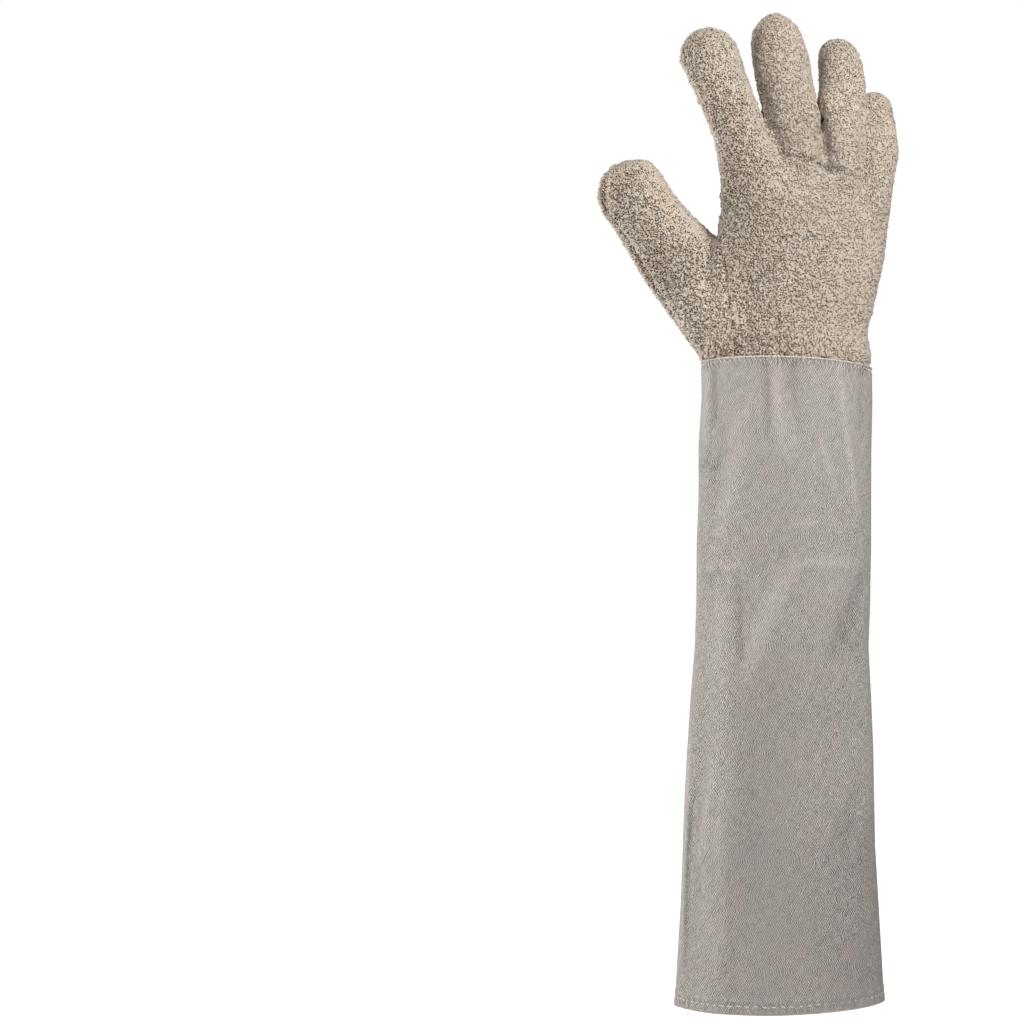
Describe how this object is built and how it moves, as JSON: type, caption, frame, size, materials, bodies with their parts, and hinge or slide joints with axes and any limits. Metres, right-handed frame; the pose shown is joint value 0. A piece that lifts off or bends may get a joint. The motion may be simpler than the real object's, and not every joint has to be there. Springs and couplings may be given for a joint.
{
  "type": "cotton terry glove",
  "caption": "Right-hand work glove of looped cotton terry with a long open canvas gauntlet cuff, shaped as if worn.",
  "frame": {"origin": "middle of the arm opening, in the plane of the cuff's hem", "axes": "+Z from the arm opening to the fingertips, +X to the little-finger side, +Y to the palm side"},
  "size_m": [0.1988, 0.0744, 0.6511],
  "materials": {
    "terry_palm": "undyed looped cotton terry, thick crumbly pile",
    "terry_back": "undyed looped cotton terry, thick crumbly pile",
    "canvas": "pale grey-beige cotton canvas, fine twill weave with pale slubs"
  },
  "bodies": {
    "root": {"palm_panel": "terry_palm", "back_panel": "terry_back", "middle_ring_panel": "terry_back", "thumb_panel": "terry_back", "canvas_cuff": "canvas"}
  },
  "joints": []
}
